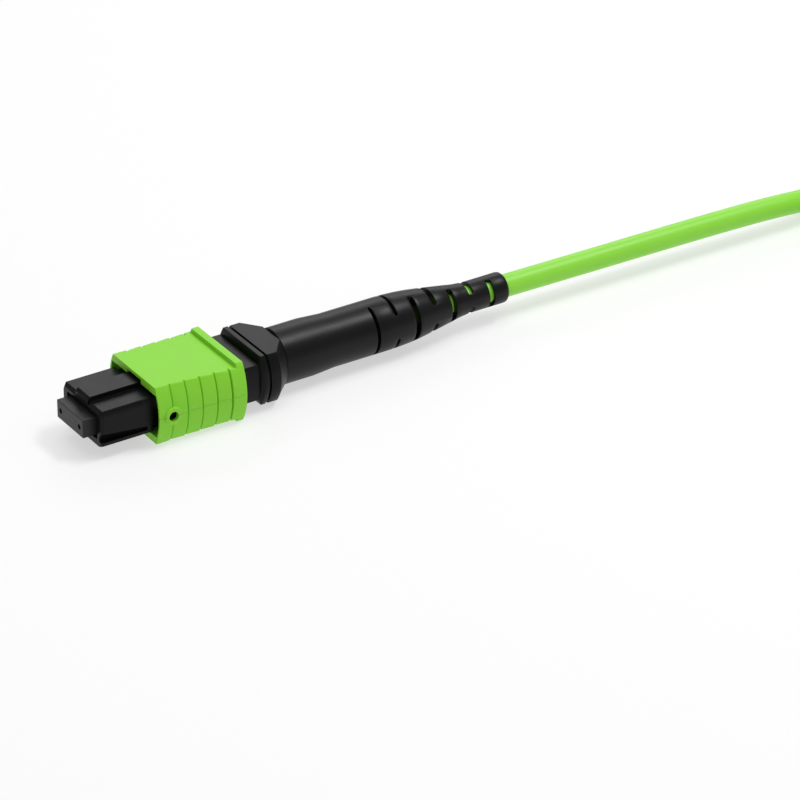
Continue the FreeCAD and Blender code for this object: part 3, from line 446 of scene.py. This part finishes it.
flush = nose(0.02, tall=0.55)
housing = loft("inner_housing", [
    (NOSE_FRONT, nose(0.45, tall=1.2, inset=0.25, drop=0.45)), (CHAMFER_BACK, nose(0.7, tall=1.2)),
    (GUTTER_BACK, nose(0.4, tall=0.55)), (GUTTER_BACK, flush), (NOSE_BACK, flush)])
waist = soft_square(WAIST_WIDTH, 2 * HOUSING_RISE, 0.4)
combine(housing, bar("waist", NOSE_BACK - JOIN, WAIST_BACK, waist), "UNION")
key_tail = square(2 * KEY_REACH, 0.9, (0, HOUSING_RISE + KEY_RISE - 0.45))
combine(housing, bar("key_tail", NOSE_BACK - 2 * JOIN, KEY_BACK, key_tail), "UNION")
body_section = barrel(BODY_WIDTH, HOUSING_RISE, HOUSING_RISE)
combine(housing, bar("rear_body", WAIST_BACK - JOIN, HOUSING_BACK, body_section), "UNION")
mouth = soft_square(MOUTH_WIDTH, CAVITY_HEIGHT, 0.3)
combine(housing, bar("mouth", MOUTH_FRONT, MOUTH_BACK, mouth))
ferrule_way = square(FERRULE_WIDTH + 2 * FERRULE_PLAY, FERRULE_HEIGHT + 2 * FERRULE_PLAY)
combine(housing, bar("ferrule_way", MOUTH_FRONT, SHOULDER_FRONT, ferrule_way))
cavity = square(CAVITY_WIDTH, CAVITY_HEIGHT)
combine(housing, bar("cavity", SHOULDER_FRONT, HOUSING_BACK + 2 * OVERRUN, cavity))
for hand in (-1, 1):
    channel = square(1.8, CHANNEL_HEIGHT, (hand * 4.9, 0))
    window = square(3.6, HOOK_HEIGHT + 2 * HOOK_PLAY, (hand * 5, 0))
    combine(housing, bar("spring_channel", SPRING_FRONT, SPRING_BACK, channel))
    combine(housing, bar("hook_window", HOOK_FRONT - HOOK_PLAY, HOOK_BACK + HOOK_PLAY, window))
soften(housing, 0.035)
housing.data.materials.append(housing_plastic)
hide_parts("inner_housing")
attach(housing, "connector")


# ---------------------------------------------------------------- coupling springs
# Two slim coil springs of steel wire that lie in the side channels of the housing, closed in by
# the sleeve, and push it forward again when the hand lets go.

for coil in ("coupling_spring_left", "coupling_spring_right"):
    wear(coil, spring_steel)
    shorten(coil)


# ---------------------------------------------------------------- coupling sleeve
# The grip that is pushed to plug in and pulled to release: lime green moulding with a sloping top
# and bottom, five grooves across each bulging side, a raised lip at the back and a gate port.

SLEEVE_FRONT, LIP_FRONT, SLEEVE_BACK = 9.05, 20.35, 21.35
GRIP_WIDTH, GROOVE_WIDTH, LIP_WIDTH = 10.1, 9.5, 10.6
GRIP_RISE, GRIP_SLOPE, LIP_RISE = 3.95, 0.4, 4.1
RIB_FLARE, RIB_STEP, SEAM_RISE = 0.1, 0.36, 0.011
GROOVES = [SLEEVE_FRONT + 2.0 + 2.07 * rib for rib in range(5)]
GROOVE_HALF = 0.12
PORT_AT, PORT, PORT_RING, PORT_RING_REACH = 10.95, 1.3, 2.3, 6.42
CUT_FRONT, CUT_BACK, MOUTH_STEP = 9.0, 21.5, 12.35

sleeve_plastic = moulded("sleeve_plastic", dark=(0.235, 0.64, 0.030), light=(0.255, 0.68, 0.036),
                         rough=(0.42, 0.54), grain=9000, depth=0.01, specular=0.28,
                         glow=0.15, glow_radius=(0.5, 1.0, 0.2))


def parting_line(material, height):
    """A hairline where the two halves of the mould meet, half way up the piece's sides."""
    nodes, links = material.node_tree.nodes, material.node_tree.links
    place, split = nodes.new("ShaderNodeTexCoord"), nodes.new("ShaderNodeSeparateXYZ")
    level, ridge = nodes.new("ShaderNodeMath"), nodes.new("ShaderNodeMapRange")
    level.operation = "ABSOLUTE"
    ridge.interpolation_type = "SMOOTHSTEP"
    ridge.inputs["From Min"].default_value = 0.08 * MM
    ridge.inputs["From Max"].default_value = 0.02 * MM
    seam = nodes.new("ShaderNodeBump")
    seam.inputs["Distance"].default_value = height * MM
    links.new(place.outputs["Object"], split.inputs["Vector"])
    links.new(split.outputs["Z"], level.inputs[0])
    links.new(level.outputs["Value"], ridge.inputs["Value"])
    links.new(ridge.outputs["Result"], seam.inputs["Height"])
    shader = nodes["Principled BSDF"]
    links.new(shader.inputs["Normal"].links[0].from_socket, seam.inputs["Normal"])
    links.new(seam.outputs["Normal"], shader.inputs["Normal"])


def grip(station, top_width):
    """Section of the grip, whose top and bottom slope towards the lip."""
    share = min(max((station - SLEEVE_FRONT) / (LIP_FRONT - SLEEVE_FRONT), 0), 1)
    return station, barrel(top_width, LIP_RISE, GRIP_RISE - GRIP_SLOPE * share, seam=SEAM_RISE)


parting_line(sleeve_plastic, 0.07)
sections = [grip(SLEEVE_FRONT, GRIP_WIDTH)]
for rib, groove in enumerate(GROOVES):
    ahead = GRIP_WIDTH + RIB_FLARE * rib
    behind = ahead + RIB_FLARE - (0 if groove == GROOVES[-1] else RIB_STEP)
    sections += [grip(groove - GROOVE_HALF, ahead), grip(groove - GROOVE_HALF * 0.6, GROOVE_WIDTH),
                 grip(groove + GROOVE_HALF * 0.6, GROOVE_WIDTH), grip(groove + GROOVE_HALF, behind)]
lip = barrel(LIP_WIDTH, LIP_RISE, LIP_RISE, shelf=GRIP_RISE - GRIP_SLOPE, seam=SEAM_RISE)
sections += [grip(LIP_FRONT, LIP_WIDTH), (LIP_FRONT, lip), (SLEEVE_BACK, lip)]
sleeve = loft("coupling_sleeve", sections)
port_ring = rod("port_ring", (-PORT_RING_REACH, PORT_RING_REACH), (PORT_AT, 0), PORT_RING, 40, "Y")
combine(sleeve, port_ring, "UNION")
combine(sleeve, bar("mouth", CUT_FRONT, MOUTH_STEP, barrel(9.45, LIP_RISE, 2.9)))
bore = barrel(BODY_WIDTH, HOUSING_RISE, HOUSING_RISE + 0.08, grow=0.08)
combine(sleeve, bar("bore", CUT_FRONT, CUT_BACK, bore))
combine(sleeve, bar("key_way", CUT_FRONT, KEY_BACK + 0.05, square(3.3, 3.45, (0, 1.725))))
for hand in (-1, 1):
    channel = square(1.6, CHANNEL_HEIGHT, (hand * 4.8, 0))
    combine(sleeve, bar("spring_channel", SPRING_FRONT, CUT_BACK, channel))
combine(sleeve, rod("port", (-9, 9), (PORT_AT, 0), PORT, 32, "Y"))
soften(sleeve, 0.07, angle=22)
sleeve.data.materials.append(sleeve_plastic)
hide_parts("coupling_sleeve")
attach(sleeve, "sleeve")


# ---------------------------------------------------------------- spring push
# The rear closure, clipped into the housing by two hooks: black moulding with a notched collar, a
# round flange with flats top and bottom, a short cone and the neck that the cord is crimped on.

COLLAR_FRONT, COLLAR_EDGE, NOTCH_FRONT, NOTCH_BACK = 24.0, 24.4, 25.05, 25.37
FLANGE_BACK, CONE_BACK, NECK_BACK = 26.77, 28.67, 36.57
FLANGE_RADIUS, FLANGE_FLAT, NOTCH_DEPTH = 5.6, 3.43, 0.35
PUSH_FRONT, SLIT_BACK, RIBBON_WAY_BACK, NECK_FRONT = 17.5, 22.4, 25.0, 28.0
NECK, FIBRE_BORE = 4.6, 2.4

push_plastic = moulded("push_plastic", dark=(0.0034, 0.0034, 0.0036),
                       light=(0.0060, 0.0060, 0.0063), rough=(0.28, 0.38), grain=9000,
                       depth=0.008, specular=0.13)


def flatted(radius, flat, steps=20):
    """Section of a round flange with a flat cut on its top and bottom."""
    reach = math.degrees(math.asin(min(flat / radius, 0.999)))
    side = round_corner((0, 0), (radius, radius), -reach, reach, steps)
    return side + [(-across, -up) for across, up in side]


full = flatted(FLANGE_RADIUS, FLANGE_FLAT)
notched = flatted(FLANGE_RADIUS - NOTCH_DEPTH, FLANGE_FLAT - NOTCH_DEPTH)
push = loft("spring_push", [
    (COLLAR_FRONT, flatted(5.15, 2.45)), (COLLAR_EDGE, full), (NOTCH_FRONT, full),
    (NOTCH_FRONT, notched), (NOTCH_BACK, notched), (NOTCH_BACK, full), (FLANGE_BACK, full),
    (CONE_BACK, flatted(3.97, FLANGE_FLAT))])
combine(push, rod("neck", (NECK_FRONT, NECK_BACK), (0, 0), NECK, 48), "UNION")
combine(push, bar("plug", PUSH_FRONT, COLLAR_EDGE, square(7.04, 3.14)), "UNION")
for hand in (-1, 1):
    slit = square(0.4, 3.3, (hand * 2.72, 0))
    hook = square(1.08, HOOK_HEIGHT, (hand * 3.76, 0))
    combine(push, bar("arm_slit", PUSH_FRONT - OVERRUN, SLIT_BACK, slit))
    combine(push, bar("hook", HOOK_FRONT, HOOK_BACK, hook), "UNION")
combine(push, bar("ribbon_way", PUSH_FRONT - OVERRUN, RIBBON_WAY_BACK, square(3.58, 1.12)))
combine(push, rod("fibre_bore", (COLLAR_EDGE, 37), (0, 0), FIBRE_BORE, 40))
soften(push, 0.045)
push.data.materials.append(push_plastic)
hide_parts("spring_push")
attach(push, "connector")


# ---------------------------------------------------------------- crimp
# Aramid strength yarn from inside the cord's jacket is folded back over the neck of the spring
# push, and a stepped ring of drawn metal, crimped to a hexagon, holds it there.

yarn = moulded("yarn", dark=(0.62, 0.48, 0.10), light=(0.75, 0.60, 0.18),
               rough=(0.5, 0.65), grain=6000, depth=0.04)
crimp_metal = metal("crimp_metal", dark=(0.42, 0.42, 0.43), light=(0.5, 0.5, 0.51),
                    rough=(0.3, 0.42), grain=12000, depth=0.004)
wear("aramid_yarn", yarn)
wear("crimp_ring", crimp_metal)


# ---------------------------------------------------------------- cord
# Round cord, 3 mm, with an extruded lime green jacket. It leaves the boot level, sinks to the
# table and is folded into a flat-sided hank of a little over five turns, which leads to the
# connector on its other end.

CORD_RADIUS, HANK_RADIUS = 1.5, 10.6
HANK_NEAR, HANK_FAR, HANK_MIDDLE, TIE_MIDDLE = 127.0, 151.0, -6.0, 139.0
RUN = HANK_FAR - HANK_NEAR
END = math.pi * HANK_RADIUS
TURN_LENGTH = 2 * RUN + 2 * END
PACKING = [(12.1, -2.6), (9.1, -2.6), (10.6, 0.0), (9.1, 2.6), (12.1, 2.6), (10.6, 5.2)]
CROSSINGS, CROSSING_LENGTH = [104, 88, 72, 54, 36], 18
HANK_START, HANK_POINTS, POINTS_A_TURN = 2, 103, 20
END_SWELL, TIE_PINCH, PINCH_REACH = 0.035, 0.42, 11

cord_jacket = moulded("cord_jacket", dark=(0.26, 0.69, 0.045), light=(0.285, 0.73, 0.055),
                      rough=(0.36, 0.46), grain=7000, depth=0.006, specular=0.4,
                      glow=0.2, glow_radius=(0.5, 1.0, 0.2))
wear("cord_end", cord_jacket)


def ease(share):
    """A gentle start and stop between nought and one."""
    share = min(max(share, 0), 1)
    return share * share * (3 - 2 * share)


def on_hank(way, radius, level):
    """A point of the hank, as far round its turn as way says; the tie gathers both runs a little."""
    lap = way % TURN_LENGTH
    if lap < RUN:
        place, side = HANK_NEAR + lap, 1
    elif lap < RUN + END:
        place, side = HANK_FAR, math.radians(90 - 180 * (lap - RUN) / END)
    elif lap < 2 * RUN + END:
        place, side = HANK_FAR - (lap - RUN - END), -1
    else:
        place, side = HANK_NEAR, math.radians(270 - 180 * (lap - 2 * RUN - END) / END)
    if place in (HANK_NEAR, HANK_FAR) and abs(side) != 1:
        reach = radius * (1 + END_SWELL * abs(math.cos(side)))
        return place + reach * math.cos(side), HANK_MIDDLE + reach * math.sin(side), level
    pinch = TIE_PINCH * ease(1 - abs(place - TIE_MIDDLE) / PINCH_REACH)
    return place, HANK_MIDDLE + side * (radius - pinch), level + pinch


route = [(62.72, 0, 0), (74, 0, -0.12), (86, 0, -0.2), (99, 0, -0.35), (106.5, 0, -0.6),
         (113, 0.3, -1.3), (121, 6.1, -2.6)]
for step in range(HANK_POINTS):
    way = HANK_START + step * TURN_LENGTH / POINTS_A_TURN
    turn, lap = divmod(way, TURN_LENGTH)
    turn = int(turn)
    radius, level = PACKING[turn]
    if turn < len(CROSSINGS):
        share = ease((lap - CROSSINGS[turn]) / CROSSING_LENGTH + 0.5)
        radius += (PACKING[turn + 1][0] - radius) * share
        level += (PACKING[turn + 1][1] - level) * share
    route.append(on_hank(way, radius, level))
route += [(153.5, 4.6, 5.4), (158, 4.4, 6.2), (164, 3.2, 4.5), (169.5, 1.5, 1.4), (175, 0.4, 0),
          (179.5, 0.4, 0), (190, 0.4, 0), (201, 0.4, 0)]

bpy.ops.object.select_all(action="DESELECT")
line = bpy.data.curves.new("cord", "CURVE")
line.dimensions = "3D"
spline = line.splines.new("NURBS")
spline.points.add(len(route) - 1)
for point, place in zip(spline.points, route):
    point.co = (place[0] * MM, place[1] * MM, place[2] * MM, 1)
spline.order_u = 3
spline.use_endpoint_u = True
line.bevel_depth = CORD_RADIUS * MM
line.bevel_resolution = 8
line.use_fill_caps = True
line.resolution_u = 8
cord = bpy.data.objects.new("cord", line)
bpy.context.collection.objects.link(cord)
line.materials.append(cord_jacket)
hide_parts("cord_tube", "cord_hank", "cord_tail")
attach(cord, "connector")


# ---------------------------------------------------------------- tie
# A strap of woven nylon, drawn round both runs of the hank. Its free end laps over the top and
# grips the strap below.

def webbing(name, dark, light, pitch):
    """Woven tape: crossed ribs of yarn that rise and sink in turn, painted lighter where they rise and
    darker where they sink, a painted highlight and painted shade.
    """
    material = bpy.data.materials.new(name)
    material.use_nodes = True
    nodes, links = material.node_tree.nodes, material.node_tree.links
    shader = nodes["Principled BSDF"]
    place = nodes.new("ShaderNodeTexCoord")
    weft, warp = nodes.new("ShaderNodeTexWave"), nodes.new("ShaderNodeTexWave")
    weft.bands_direction, warp.bands_direction = "X", "Y"
    for wave in (weft, warp):
        wave.inputs["Scale"].default_value = 1 / (pitch * MM)
        wave.inputs["Distortion"].default_value = 0.6
        wave.inputs["Detail"].default_value = 1
        links.new(place.outputs["Object"], wave.inputs["Vector"])
    cloth = nodes.new("ShaderNodeMath")
    cloth.operation = "MULTIPLY"
    links.new(weft.outputs["Fac"], cloth.inputs[0])
    links.new(warp.outputs["Fac"], cloth.inputs[1])
    # The weave's height also picks the colour: painted shade on the sunk yarn, a painted highlight on
    # the raised ribs.
    tint = two_tone(nodes, dark, light)
    links.new(cloth.outputs["Value"], tint.inputs["Factor"])
    links.new(tint.outputs[2], shader.inputs["Base Color"])
    bump = nodes.new("ShaderNodeBump")
    bump.inputs["Distance"].default_value = 0.06 * MM
    links.new(cloth.outputs["Value"], bump.inputs["Height"])
    links.new(bump.outputs["Normal"], shader.inputs["Normal"])
    shader.inputs["Roughness"].default_value = 0.85
    shader.inputs["Sheen Weight"].default_value = 0.3
    return material


TIE_FRONT, TIE_BACK, TIE_SELVAGE = 135.0, 143.0, 0.06
TIE_UNDER, TIE_EDGE, TIE_THICK, TIE_LAP = 0.02, 0.2, 0.3, 0.21
LAP_RIGHT, LAP_LEFT, LAP_SLOPE = 1.4, -11.8, 0.15
BOTTOM_TURN, SIDE_TURN, TOP_TURN = (5.68, -2.18), (5.68, 3.02), (4.18, 5.62)


def band(grow, lap=0.0):
    """Section of a band round the hank's two runs, that much outside the cord, with its lap on top."""
    reach = CORD_RADIUS + grow
    right = (round_corner(BOTTOM_TURN, (reach, reach), -90, 0, 8)
             + round_corner(SIDE_TURN, (reach, reach), 0, 30, 3)
             + round_corner(TOP_TURN, (reach, reach), 30, 90, 5))
    top = TOP_TURN[1] + reach
    over = [(LAP_RIGHT + LAP_SLOPE, top), (LAP_RIGHT, top + lap),
            (LAP_LEFT, top + lap), (LAP_LEFT - LAP_SLOPE, top)]
    return right + over + [(2 * HANK_MIDDLE - across, up) for across, up in reversed(right)]


selvage, strap = band(TIE_EDGE, TIE_EDGE), band(TIE_THICK, TIE_LAP)
tie = loft("tie", [(TIE_FRONT, selvage), (TIE_FRONT + TIE_SELVAGE, strap),
                   (TIE_BACK - TIE_SELVAGE, strap), (TIE_BACK, selvage)])
combine(tie, bar("tie_inside", TIE_FRONT - 2 * OVERRUN, TIE_BACK + 2 * OVERRUN, band(TIE_UNDER)))
soften(tie, 0.05, angle=40)
# The dark colour is the painted shade of the sunk yarn, the light colour the painted highlight of the
# raised ribs.
tie.data.materials.append(webbing("tie_fabric", dark=(0.012, 0.012, 0.013),
                                  light=(0.05, 0.05, 0.052), pitch=1.1))
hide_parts("cord_tie")
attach(tie, "connector")


# ---------------------------------------------------------------- bend relief boot
# Long black rubber sleeve pushed over the crimp: its tapering tail is slotted at seven stations,
# each pair of slots turned a quarter from the last, so that it bends in every direction.

SLOTS, NARROW_SLOTS, FIRST_SLOT, SLOT_PITCH = 7, 2, 42.42, 3.0
NARROW_HALF, WIDE_HALF = 0.23, 0.39
SLOT_INSIDE, SLOT_OUTSIDE, SLOT_SWEEP, SLOT_END = 0.9, 4.5, 130, 8
SLOT_FACINGS = (78, -12)
BOOT_OUTSIDE = [(28.77, 3.6), (28.87, 3.73), (33.52, 3.73), (36.62, 3.5), (44.72, 3.5),
                (46.2, 3.46), (47.72, 3.38), (49.3, 3.22), (50.72, 3.02), (54.62, 2.40),
                (55.75, 2.20), (56.9, 2.08), (58.02, 2.025), (62.5, 2.04), (62.8, 1.99),
                (62.96, 1.86), (63.0, 1.66)]
BOOT_INSIDE = [(63.0, 1.55), (39.52, 1.55), (39.52, 2.95)]

boot_rubber = moulded("boot_rubber", dark=(0.0030, 0.0030, 0.0032), light=(0.0054, 0.0054, 0.0056),
                      rough=(0.32, 0.42), grain=8000, depth=0.006, specular=0.2)


def turned(name, profile, steps=96, sweep=360, middle=0):
    """Spin a closed (station, radius) outline about X; middle is its angle from the top."""
    bpy.ops.object.select_all(action="DESELECT")
    whole = sweep == 360
    bpy.ops.mesh.primitive_circle_add(vertices=len(profile), radius=MM,
                                      fill_type="NOTHING" if whole else "NGON")
    piece = bpy.context.object
    piece.name = piece.data.name = name
    for corner, (station, radius) in zip(piece.data.vertices, profile):
        start = math.radians(middle - sweep / 2)
        corner.co = (station * MM, -radius * math.sin(start) * MM, radius * math.cos(start) * MM)
    bpy.ops.object.mode_set(mode="EDIT")
    bpy.ops.mesh.select_all(action="SELECT")
    bpy.ops.mesh.spin(steps=steps, angle=math.radians(sweep), center=(0, 0, 0), axis=(-1, 0, 0))
    return end_drawing(piece)


def slot_cutter(middle, half, facing):
    """A slice of ring that cuts one slot, and narrows to round ends."""
    cutter = turned("slot", [(middle - half, SLOT_INSIDE), (middle + half, SLOT_INSIDE),
                             (middle + half, SLOT_OUTSIDE), (middle - half, SLOT_OUTSIDE)],
                    52, SLOT_SWEEP, facing)
    for corner in cutter.data.vertices:
        angle = math.degrees(math.atan2(-corner.co.y, corner.co.z)) - facing
        to_end = SLOT_SWEEP / 2 - abs((angle + 180) % 360 - 180)
        round_end = math.sqrt(max(1 - max(1 - to_end / SLOT_END, 0) ** 2, 0.06))
        corner.co.x = (middle + (corner.co.x / MM - middle) * round_end) * MM
    return cutter


boot = turned("boot", [(28.77, 2.95)] + BOOT_OUTSIDE + BOOT_INSIDE)
for slot in range(SLOTS):
    half = NARROW_HALF if slot < NARROW_SLOTS else WIDE_HALF
    for side in (0, 180):
        facing = SLOT_FACINGS[slot % 2] + side
        combine(boot, slot_cutter(FIRST_SLOT + SLOT_PITCH * slot, half, facing))
soften(boot, 0.04, angle=35, smooth=40)
boot.data.materials.append(boot_rubber)
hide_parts("boot")
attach(boot, "connector")


# ---------------------------------------------------------------- connector on the other end
# The same five mouldings again, on the far end of the cord and facing away from the hank. They
# are made and fixed as the near ones are.

FAR_FACE, FAR_MIDDLE = 242.22, 0.4


def far_copy(piece, name, node, body):
    """A copy of a finished piece with its own mesh, carried to the far end of the cord."""
    copy = piece.copy()
    copy.data = piece.data.copy()
    copy.parent = None
    copy.name = copy.data.name = name
    for key in list(copy.keys()):
        if key.startswith("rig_"):
            del copy[key]
    bpy.context.collection.objects.link(copy)
    pick(copy)
    copy.location = (FAR_FACE * MM, FAR_MIDDLE * MM, 0)
    copy.rotation_euler = (0, 0, math.pi)
    bpy.ops.object.transform_apply(location=True, rotation=True, scale=True)
    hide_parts(node)
    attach(copy, body)
    return copy


far_pieces = [far_copy(ferrule, "far_ferrule_piece", "far_ferrule", "far_ferrule"),
              far_copy(housing, "far_housing_piece", "far_housing", "connector"),
              far_copy(sleeve, "far_sleeve_piece", "far_sleeve", "far_sleeve"),
              far_copy(push, "far_push_piece", "far_push", "connector"),
              far_copy(boot, "far_boot_piece", "far_boot", "connector")]
